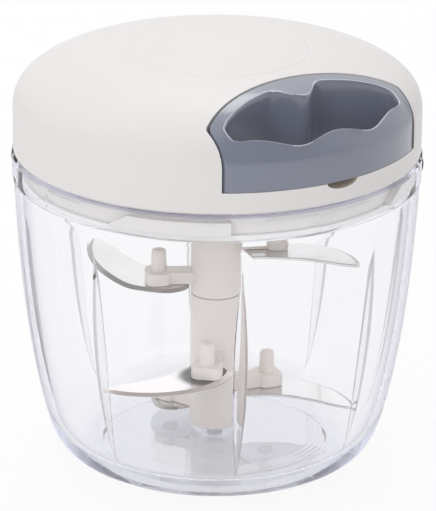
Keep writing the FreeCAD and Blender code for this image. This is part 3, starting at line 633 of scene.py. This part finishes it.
# ------------------------------------------------------------- lid
def dome_line(inset, steps=40):
    r0, h = LID_R - inset, DOME_H - inset
    line = []
    for k in range(steps + 1):
        a = math.pi / 2 * (k / steps)
        r = r0 * math.cos(a) ** (2 / DOME_OUT) if k < steps else 0.0
        line.append((r, DOME_Z + h * math.sin(a) ** (2 / DOME_UP)))
    return line


def dome_z(r, inset=0.0):
    r0, h = LID_R - inset, DOME_H - inset
    c = min(1.0, max(0.0, r / r0)) ** (DOME_OUT / 2)
    return DOME_Z + h * math.sqrt(max(0.0, 1 - c * c)) ** (2 / DOME_UP)


# the fine ring in the lid's top: radius and depth
GROOVE = [(30.2, 0.0), (29.5, 0.0), (29.25, 0.06), (29.0, 0.17), (28.8, 0.17), (28.55, 0.06),
          (28.3, 0.0), (27.6, 0.0)]


def dome(inset, foot, outside=False):
    line = [(LID_R - inset, foot)] + dome_line(inset)
    if outside:
        line = [p for p in line if not GROOVE[-1][0] <= p[0] <= GROOVE[0][0]]
        line += [(r, dome_z(r) - depth) for r, depth in GROOVE]
        line.sort(key=lambda p: (-p[0], p[1]))
        line = [(LID_R - 0.5, foot), (LID_R - 0.12, foot + 0.15), (LID_R, foot + 0.6)] + line[1:]
    return spun([(0.0, foot)] + line, 192)


def back_y(x, offset):
    """The arc at the back of the handle and its pocket."""
    r = BACK_R + offset
    return BACK_Y - BACK_R + math.sqrt(r * r - x * x)


def pocket_plan(offset, corner):
    """Back arc, sides and a straight front, seen from above."""
    xs = HALF_W + offset
    arc = [(xs - 2 * xs * k / 32, back_y(xs - 2 * xs * k / 32, offset)) for k in range(33)]
    return rounded(arc + [(-xs, -80.0), (xs, -80.0)], corner, 6, closed=True)


SCOOP, SCOOP_AT = Vector((5.8, 5.0, 2.3)), Vector((0, -64.9, 109.0))


def thumb_scoop():
    bm = bmesh.new()
    bmesh.ops.create_uvsphere(bm, u_segments=48, v_segments=32, radius=1.0)
    bmesh.ops.scale(bm, vec=SCOOP, verts=bm.verts)
    bmesh.ops.translate(bm, vec=SCOOP_AT, verts=bm.verts)
    return bm


def lid():
    room = [("DIFFERENCE", prism(pocket_plan(2.7, 5.7), POCKET_Z - 2.0, 140.0)),
            ("DIFFERENCE", rod(6.6, 6.6, (0, -55, POCKET_Z), (0, -67, POCKET_Z))),
            ("DIFFERENCE", rod(4.0, 4.0, (0, 0, 90), (0, 0, 140)))]
    for sx in (-1, 1):
        for sy in (-1, 1):
            at = (SCREW_AT[0] * sx, SCREW_AT[1] * sy)
            room.append(("DIFFERENCE", rod(3.6, 3.6, (*at, 98.4), (*at, 140.0), 32)))
    cavity = carved(dome(LID_T, 90.0), room)
    return carved(dome(0.0, LID_FOOT_Z, True), [
        ("DIFFERENCE", cavity),
        ("DIFFERENCE", prism(pocket_plan(0.7, 3.7), POCKET_Z, 141.0)),
        ("DIFFERENCE", thumb_scoop()),
        ("DIFFERENCE", rod(2.6, 2.6, (0, -26, CORD_Z), (0, -38, CORD_Z)))])


def in_recess(at):
    """Whether a point of the lid, in millimetres, lies on the handle's pocket or thumb scoop."""
    off = at - SCOOP_AT
    scooped = abs(Vector((off.x / SCOOP.x, off.y / SCOOP.y, off.z / SCOOP.z)).length - 1.0) < 0.03
    pocket = abs(at.x) < HALF_W + 0.8 and at.y < back_y(at.x, 0.75) and at.z > POCKET_Z - 0.05
    return scooped or pocket


shell = finished("lid_shell", lid(), CREAM, "lid", "lid_cover", crisp=30.0)
shell.data.materials.append(CREAM_RECESS_SHADE)
shell.data.materials.append(CREAM_INNER)
# painted shade: the pocket's edges and the thumb scoop take the tan recess cream; its floor and
# deep walls take the darker lid-base cream
for face in shell.data.polygons:
    at = face.center / MM
    if in_recess(at):
        deep = at.z < POCKET_Z + 0.3 or face.area > 4e-6 and at.y > -60.0
        face.material_index = 2 if deep and (at - SCOOP_AT).length > 6.0 else 1


# ------------------------------------------------------------- handle
MIDDLE = Vector((0.0, -50.0))


def wave_y(x):
    """Front edge of the opening, with its finger waves."""
    r = LID_R - 2.79 - 0.95 * math.cos(math.tau * x / 27.0)
    return -math.sqrt(r * r - x * x)


def opening_back_y(x):
    """Back edge of the opening, with the bump between two fingers."""
    bump = 3.6 * (1 + math.cos(math.pi * x / 11.0)) if abs(x) < 11.0 else 0.0
    return back_y(x, -3.4) - bump


def handle_loops():
    """Outer and inner edge of the handle from above, with matching points."""
    r0 = LID_R - HANDLE_GAP
    n, m = 96, 26
    edge_y = -math.sqrt(r0 * r0 - HALF_W * HALF_W)
    side = rounded([(HALF_W - 4, -math.sqrt(r0 * r0 - (HALF_W - 4) ** 2)), (HALF_W, edge_y),
                    (HALF_W, back_y(HALF_W, 0)), (HALF_W - 5, back_y(HALF_W - 5, 0))], 2.4, 6)
    right = evenly(side, m)
    x0, x1 = right[0][0], right[-1][0]
    front = [Vector((x, -math.sqrt(r0 * r0 - x * x))) for x in
             (-x0 + 2 * x0 * k / n for k in range(n))]
    back = [Vector((x, back_y(x, 0))) for x in (x1 - 2 * x1 * k / n for k in range(1, n))]
    left = [Vector((-p[0], p[1])) for p in reversed(right)]
    outer = front + right + back + left[:-1]
    xi = 30.0
    front_in = [Vector((x, wave_y(x))) for x in (-xi + 2 * xi * k / n for k in range(n))]
    a, b = Vector((xi, wave_y(xi))), Vector((xi, opening_back_y(xi)))
    bow = [a, Vector((32.2, blend(a.y, b.y, 0.22))), Vector((32.6, (a.y + b.y) / 2)),
           Vector((32.2, blend(a.y, b.y, 0.78))), b]
    right_in = [p.to_2d() for p in through([p.to_3d() for p in bow], m)]
    back_in = [Vector((x, opening_back_y(x))) for x in (xi - 2 * xi * k / n for k in range(1, n))]
    left_in = [Vector((-p.x, p.y)) for p in reversed(right_in)]
    inner = front_in + right_in + back_in + left_in[:-1]
    return [Vector(p).to_2d() for p in outer], inner


def handle():
    """Skinned from the foot up the outside, over the top and down into the opening."""
    outer, inner = handle_loops()
    stations = list(zip(outer, inner))
    fronts = [ease((p.length - 60.5) / 3.5) for p, q in stations]
    creases = [(LID_R - HANDLE_GAP - CREASE_R) / max(0.3, LID_R - HANDLE_GAP - q.length)
               for p, q in stations]
    rows = [[Vector((p.x, p.y, HANDLE_Z)) for p, q in stations]]
    for share in (0.0, 0.25, 0.5, 0.75, 1.0):
        rows.append([Vector((p.x, p.y,
                             blend(HANDLE_Z + 1.2, dome_z(p.length, HANDLE_GAP), share)))
                     for p, q in stations])
    for s in (0.35, 0.7, 1.0):
        row = []
        for (p, q), w, crease in zip(stations, fronts, creases):
            at = p.lerp(q, blend(0.07 * s, crease * s * s, w))
            row.append(Vector((at.x, at.y, dome_z(at.length, HANDLE_GAP))))
        rows.append(row)
    for s in (0.12, 0.25, 0.4, 0.55, 0.7, 0.82, 0.92, 1.0):
        row = []
        for (p, q), w, crease in zip(stations, fronts, creases):
            at = p.lerp(q, blend(blend(0.07, 1.0, s), blend(crease, 1.0, s ** 1.25), w))
            dip = 0.42 * math.sin(math.pi * min(1.0, s * 1.02)) * w
            at = at * (1 - dip / at.length)
            row.append(Vector((at.x, at.y, dome_z(at.length + dip, HANDLE_GAP) - 0.1 * dip)))
        rows.append(row)
    for step_in, drop in ((0.35, 0.08), (0.7, 0.35), (0.95, 0.85), (1.05, 2.0), (1.08, 6.0)):
        row = []
        for p, q in stations:
            at = q + (MIDDLE - q).normalized() * step_in
            row.append(Vector((at.x, at.y, dome_z(q.length, HANDLE_GAP) - drop)))
        rows.append(row)
    rows.append([Vector((*(q + (MIDDLE - q).normalized() * 1.08), HANDLE_Z)) for p, q in stations])
    return soften(drawn(rows, ring=True), 0.6, angle=40.0, segments=3)


def cut_handle():
    bore = rod(1.1, 1.1, (0, BACK_Y + 1, CORD_Z), (0, -40.0, CORD_Z), 24)
    knot_room = rod(3.0, 3.0, (0, -41.0, 100.0), (0, -41.0, CORD_Z + 3.5), 40)
    return carved(handle(), [("DIFFERENCE", bore), ("DIFFERENCE", knot_room)])


grip = finished("pull_handle", cut_handle(), BLUE_GREY, "handle", "handle",
                crisp=38.0)
# painted highlight: faces along the opening's lip take the light lip colour
grip.data.materials.append(LIP_HIGHLIGHT)
opening = handle_loops()[1]
lip_edge = [q.lerp(after, t) for q, after in zip(opening, opening[1:] + opening[:1])
            for t in (0.0, 0.25, 0.5, 0.75)]
for face in grip.data.polygons:
    at = face.center.to_2d() / MM
    rise = face.normal.z
    if face.center.z / MM > HANDLE_Z + 6.0 and rise > 0.2:
        q = min(lip_edge, key=lambda edge: (at - edge).length)
        inside = (at - q).dot(MIDDLE - q) > 0.0
        reach = 0.06 if not inside else 0.37 if rise > 0.9 else 0.23
        face.material_index = int((at - q).length < reach)


# ------------------------------------------------------------- shaft tiers
# bearing of the arm, underside of the blade, sweep, tip bend in degrees, reach
LOWER = [(-44.3, 29.9, 0.0, 0.0, 1.0), (77.7, 17.0, 2.0, 0.0, 1.0),
         (195.7, 10.4, -22.0, 0.0, 1.0)]
UPPER = [(-121.3, 55.4, 0.0, 8.0, 1.08), (58.7, 66.8, 17.0, 5.0, 1.0)]
# start of the pad, half width and thickness of the arm, height of the post
FULL_ARM, BARE_ARM = (14.4, 3.3, PAD_T, POST_H), (14.4, 3.3, PAD_T, 0.0)
THIN_ARM = (16.0, 2.7, 1.5, POST_H)
LOWER_ARMS, UPPER_ARMS = [FULL_ARM, FULL_ARM, BARE_ARM], [FULL_ARM, THIN_ARM]


def hexagon(across, z0, z1):
    r = across / math.sqrt(3.0)
    return prism([(r * math.cos(math.radians(60 * k)), r * math.sin(math.radians(60 * k)))
                  for k in range(6)], z0, z1)


def arm_pieces(bearing, z, shape):
    """An arm with its pad, the stake that holds the blade under it and the post on it."""
    pad_start, half, thick, post_h = shape
    under = z + BLADE_T
    top = under + PAD_T
    arm = soften(block(6.0, pad_start + 1.2, -half, half, under + 0.03, under + thick - 0.03),
                 0.35)
    w = PAD_W / 2
    corners = [(pad_start, -w), (PAD_END, -w), (PAD_END, w), (pad_start, w)]
    pad = soften(prism(rounded(corners, 3.2, 6, closed=True), under, top), 0.4, angle=50.0)
    stake = spun([(0, under + 0.5), (1.6, under + 0.5), (1.6, z), (2.7, z), (2.5, z - 0.6),
                  (1.6, z - 0.9), (0, z - 0.9)], 40)
    pieces = [arm, pad, stake]
    if post_h:
        tip = top + post_h
        pieces.append(spun([(0, top - 1.0), (2.52, top - 1.0), (2.34, tip - 0.8),
                            (2.1, tip - 0.25), (1.6, tip), (0, tip)], 40))
    for bm in pieces[2:]:
        bmesh.ops.translate(bm, vec=(POST_AT, 0, 0), verts=bm.verts)
    return [("UNION", turned(bm, bearing - 90.0)) for bm in pieces]


def shaft_tier(z0, z1, ease_r, arms, shapes, first, last):
    """A length of shaft with its arms; first and last are joined or cut before and after them."""
    shaft = spun(rounded([(0, z0), (SHAFT_R, z0), (SHAFT_R, z1), (0, z1)], ease_r, 3), 96)
    steps = list(first)
    for row, shape in zip(arms, shapes):
        steps += arm_pieces(row[0], row[1], shape)
    return carved(shaft, steps + last)


lower = shaft_tier(7.6, 52.6, 0.5, LOWER, LOWER_ARMS,
                   [("UNION", hexagon(TIER_SPIGOT, 50.0, 62.5))],
                   [("DIFFERENCE", rod(2.56, 2.56, (0, 0, 0), (0, 0, 23.0), 40))])
upper = shaft_tier(52.8, 83.6, 0.4, UPPER, UPPER_ARMS, [],
                   [("UNION", hexagon(DRIVE_KEY, 80.0, 96.0)),
                    ("DIFFERENCE", hexagon(TIER_SOCKET, 40.0, 62.8))])
finished("shaft_lower", lower, WHITE, "blades", "lower_hub")
finished("shaft_upper", upper, WHITE, "blades", "upper_hub")


# ------------------------------------------------------------- blades
# a leaf from above, along +X before it is turned: its ground edge and its back edge
OUTER = [(8.9, 3.4), (10.6, 6.0), (14.2, 7.6), (20.0, 6.3), (26.8, 2.6), (32.2, -3.6),
         (35.8, -11.0), (37.1, -18.0), (36.9, -24.5), (35.4, -29.8)]
INNER = [(8.9, -6.6), (16.2, -9.8), (21.6, -14.0), (26.2, -19.6), (30.2, -25.6), (34.4, -30.2)]


FOLD = math.radians(36)


def reached(line, reach):
    """The line drawn longer or shorter beyond the arm's pad."""
    return [Vector((x, y, 0)) if x < 12.0 else Vector((x * reach, y * reach, 0)) for x, y in line]


def blade(bearing, z, sweep, bend, reach):
    """A leaf of sheet steel; its convex edge is ground from above."""
    count = 44
    slope = math.tan(math.radians(bend))
    rows = []
    for o, i in zip(through(reached(OUTER, reach), count), through(reached(INNER, reach), count)):
        across = (i - o).normalized()
        span = (i - o).length
        grind = min(1.9, span * 0.42)
        section = [(o + across * 0.02, 0.0), (o, 0.16), (o + across * grind, BLADE_T)]
        section += [(o.lerp(i, t), BLADE_T) for t in (0.25, 0.5, 0.75)
                    if span * t > grind + 0.3]
        while len(section) < 6:
            last = section[-1][0]
            section.append((last.lerp(i, 0.4), BLADE_T))
        section += [(i - across * 0.15, BLADE_T), (i, BLADE_T - 0.15), (i, 0.15),
                    (i - across * 0.15, 0.0)]
        section += [(i.lerp(o, t), 0.0) for t in (0.3, 0.6)]
        row = []
        for p, h in section:
            away = p.x * math.cos(FOLD) - p.y * math.sin(FOLD) - BEND_AT
            lift = slope * 0.5 * (away + math.sqrt(away * away + 2.0)) if slope else 0.0
            row.append(Vector((p.x, p.y, z + h + lift)))
        rows.append(row)
    return turned(turned(drawn(rows), sweep, cent=(POST_AT, 0, 0)), bearing - 90.0)


for k, spec in enumerate(LOWER + UPPER):
    leaf = finished("blade_leaf_%d" % (k + 1), blade(*spec), BLADE if k else FRONT_BLADE_LIT_AND_SHADED, "blades",
                    "blade_%d" % (k + 1), crisp=14.0)
    leaf.data.materials.append(GROUND_DARK_REFLECTION if k else FRONT_GROUND_LIGHTER_REFLECTION)
    # the ground faces take the ground steel, with its painted dark reflection
    for face in leaf.data.polygons:
        face.material_index = int(0.5 < face.normal.z < 0.975)


# ------------------------------------------------------------- cord and springs
def tube(name, points, radius, body, node):
    """A cord along the points."""
    curve = bpy.data.curves.new(name, "CURVE")
    curve.dimensions = "3D"
    spline = curve.splines.new("NURBS")
    spline.points.add(len(points) - 1)
    for place, p in zip(spline.points, points):
        place.co = (p[0] * MM, p[1] * MM, p[2] * MM, 1.0)
    spline.order_u = 3
    spline.use_endpoint_u = True
    spline.resolution_u = 6
    curve.bevel_depth = radius * MM
    curve.bevel_resolution = 3
    curve.use_fill_caps = True
    temp = bpy.data.objects.new(name, curve)
    scene.collection.objects.link(temp)
    shaped = temp.evaluated_get(bpy.context.evaluated_depsgraph_get())
    mesh = bpy.data.meshes.new_from_object(shaped)
    bpy.data.objects.remove(temp)
    bm = bmesh.new()
    bm.from_mesh(mesh)
    bmesh.ops.remove_doubles(bm, verts=bm.verts, dist=1e-7)
    bmesh.ops.recalc_face_normals(bm, faces=bm.faces)
    bm.to_mesh(mesh)
    bm.free()
    mesh.name = name
    mesh.polygons.foreach_set("use_smooth", [True] * len(mesh.polygons))
    mesh.materials.clear()
    mesh.materials.append(CORD)
    piece = bpy.data.objects.new(name, mesh)
    scene.collection.objects.link(piece)
    return fitted(piece, body, node)


WIND_R, WIND_PITCH, WIND_TURNS, WIND_Z = 17.82, 1.66, 4.25, 110.4
LEAVES_AT = -math.degrees(math.acos(WIND_R / 30.6))
coil = []
for k in range(int(WIND_TURNS * 12) + 1):
    share = k / (WIND_TURNS * 12)
    coil.append(polar(WIND_R / 0.9665, LEAVES_AT - 360.0 * WIND_TURNS * (1 - share),
                      WIND_Z + WIND_PITCH * WIND_TURNS * share))
tube("cord_on_spool", coil, 0.76, "spool", "cord_winding")

leaves = polar(WIND_R, LEAVES_AT, WIND_Z + WIND_PITCH * WIND_TURNS)
bend_at = Vector((0.0, -30.6, CORD_Z))
run = [leaves.lerp(bend_at, t) for t in (0.03, 0.3, 0.6, 0.9)]
run += [Vector((0.0, y, CORD_Z)) for y in (-31.6, -33.0, -34.0, -35.0, -36.5, -38.2)]
pull = tube("cord_run_out", run, 0.78, None, "cord_run")
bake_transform(pull)


SPRING_IN, SPRING_OUT, SPRING_T, SPRING_TURNS, SPRING_Z = 4.02, 15.2, 0.35, 7, (111.4, 118.6)


def mainspring():
    """A flat strip wound from the arbor out to the drum."""
    rows = []
    steps = 48 * SPRING_TURNS
    grow = SPRING_OUT - 0.02 - SPRING_T - SPRING_IN
    z0, z1 = SPRING_Z
    for k in range(steps + 1):
        r, b = SPRING_IN + grow * k / steps, 360.0 * SPRING_TURNS * k / steps
        rows.append([polar(r, b, z0), polar(r + SPRING_T, b, z0), polar(r + SPRING_T, b, z1),
                     polar(r, b, z1)])
    return drawn(rows)


finished("spring_coil", mainspring(), TURNED, "spool", "mainspring")


# ------------------------------------------------------------- seal
SEAL_LINE = [(56.5, 92.6), (57.2, 92.35), (59.8, 92.62), (60.4, 92.6), (61.3, 92.62), (61.7, 92.8),
             (61.7, 94.3), (57.97, 94.32), (57.95, 95.4), (58.32, 95.42), (58.32, 95.98),
             (57.95, 96.0), (57.9, 96.25), (56.7, 96.3), (56.5, 96.1)]
finished("seal_lip", spun(rounded(SEAL_LINE, 0.2, 2, closed=True), 160, closed=True), SEAL,
         "seal", "seal_ring")


# ------------------------------------------------------------- carried-over parts
CARRIED = {
    "lid_base": CREAM_INNER, "lid_screws": TURNED, "shaft_bush": ACETAL, "spool_washer": TURNED,
    "spool_screw": TURNED, "cord_eyelet": TURNED, "cord_knot": CORD, "spool": ACETAL,
    "spring_cover": TURNED, "driver": ACETAL, "pawl_1": ACETAL, "pawl_2": ACETAL,
    "pawl_3": ACETAL, "pivot_pin": TURNED,
}
for name, material in CARRIED.items():
    slots = nodes[name].material_slots
    if not slots:
        nodes[name].data.materials.append(material)
    for s in slots:
        s.material = material


# ------------------------------------------------------------- stage
def studio_floor():
    bm = bmesh.new()
    bmesh.ops.create_grid(bm, x_segments=8, y_segments=8, size=4.0)
    bmesh.ops.translate(bm, vec=(0, 0, -0.0004), verts=bm.verts)
    floor = loose_object(bm, "studio_floor")
    mat, tree, out, shader, place = blank_material("studio_floor")
    tree.links.new(between(tree, noise(tree, place, 3.0), (0.93, 0.93, 0.93), (0.95, 0.95, 0.95)),
                   shader.inputs["Base Color"])
    shader.inputs["Roughness"].default_value = 0.8
    white = made_node(tree, "ShaderNodeEmission", [("Color", (1, 1, 1, 1)), ("Strength", 1.0)])
    seen = any_ray(tree, "Is Camera Ray", "Is Glossy Ray", "Is Transmission Ray")
    tree.links.new(one_or_other(tree, maths(tree, "MULTIPLY", seen, 0.86), shader.outputs[0],
                                white.outputs[0]), out.inputs["Surface"])
    floor.data.materials.append(mat)


def any_ray(tree, first, *others):
    path = tree.nodes.new("ShaderNodeLightPath")
    total = path.outputs[first]
    for label in others:
        total = maths(tree, "MAXIMUM", total, path.outputs[label])
    return total


def glow(tree, strength):
    return made_node(tree, "ShaderNodeBackground", [("Color", (1, 1, 1, 1)),
                                                    ("Strength", strength)]).outputs[0]


def studio_world():
    """White all round for what is seen through; mirrors also meet a greyer room in front."""
    world = bpy.data.worlds.new("studio")
    scene.world = world
    world.use_nodes = True
    tree = world.node_tree
    tree.nodes.clear()
    look = tree.nodes.new("ShaderNodeTexCoord").outputs["Generated"]
    ahead = vector_maths(tree, "DOT_PRODUCT", look, FRONT)
    mirrored = glow(tree, mapped(tree, ahead, (-0.1, 0.75), (BEHIND_GREY, FRONT_GREY), smooth=True))
    rise = made_node(tree, "ShaderNodeSeparateXYZ", [(0, look)]).outputs["Z"]
    backdrop = glow(tree, mapped(tree, rise, (0.08, 0.3), (1.0, SKY)))
    lit = one_or_other(tree, any_ray(tree, "Is Glossy Ray"), glow(tree, WORLD_LIGHT), mirrored)
    seen = any_ray(tree, "Is Camera Ray", "Is Transmission Ray")
    out = tree.nodes.new("ShaderNodeOutputWorld")
    tree.links.new(one_or_other(tree, seen, lit, backdrop), out.inputs["Surface"])


def soft_box(name, place, aim, size, power, mirrored=False):
    lamp = bpy.data.lights.new(name, "AREA")
    lamp.shape, lamp.size, lamp.size_y = "RECTANGLE", size[0], size[1]
    lamp.energy = power
    o = bpy.data.objects.new(name, lamp)
    scene.collection.objects.link(o)
    o.location = place
    o.visible_glossy, o.visible_transmission = mirrored, False
    o.rotation_euler = (Vector(aim) - Vector(place)).to_track_quat("-Z", "Y").to_euler()


# where the greyer room stands, how grey it is, and what the world and the upper sky give
FRONT = (-0.55, -0.75, 0.1)
BEHIND_GREY, FRONT_GREY, WORLD_LIGHT, SKY = 1.0, 0.3, 0.66, 1.3
studio_floor()
studio_world()
soft_box("top_box", (0.05, 0.25, 1.0), (0, 0, 0.1), (0.9, 0.9), 2.4)
soft_box("top_strip", (0.42, 0.57, 0.94), (0, 0, 0.1), (0.3, 0.3), 0.8, True)
soft_box("left_box", (-1.0, -0.35, 0.7), (0, 0, 0.08), (0.5, 0.8), 3.2)
soft_box("back_box", (0.66, 0.9, 0.58), (0, 0, 0.1), (1.0, 0.35), 1.2)
soft_box("front_box", (-0.5, -1.3, 0.35), (0, 0, 0.09), (0.8, 0.5), 0.5)

# ------------------------------------------------------------- camera
AZIMUTH, RISE, ROLL = math.radians(-36.3), math.radians(20.663), math.radians(0.5176)
DISTANCE, TARGET_Z, FOCAL_PX = 1.2, 0.06426, 3747.78
WIDE, TALL, AXIS_PX, LEVEL_PX = 436, 511, 216.15, 257.10
back = Vector((math.sin(AZIMUTH) * math.cos(RISE), -math.cos(AZIMUTH) * math.cos(RISE),
               math.sin(RISE)))
camera = bpy.data.cameras.new("camera")
camera.sensor_width = 36.0
camera.lens = FOCAL_PX / TALL * camera.sensor_width
camera.shift_x = (WIDE / 2 - AXIS_PX) / TALL
camera.shift_y = (LEVEL_PX - TALL / 2) / TALL
camera.clip_end = 20.0
eye = bpy.data.objects.new("camera", camera)
scene.collection.objects.link(eye)
eye.rotation_mode = "QUATERNION"
eye.rotation_quaternion = ((-back).to_track_quat("-Z", "Y")
                           @ Matrix.Rotation(ROLL, 4, "Z").to_quaternion())
eye.location = Vector((0, 0, TARGET_Z)) + back * DISTANCE
scene.camera = eye
scene.view_settings.view_transform = "Standard"
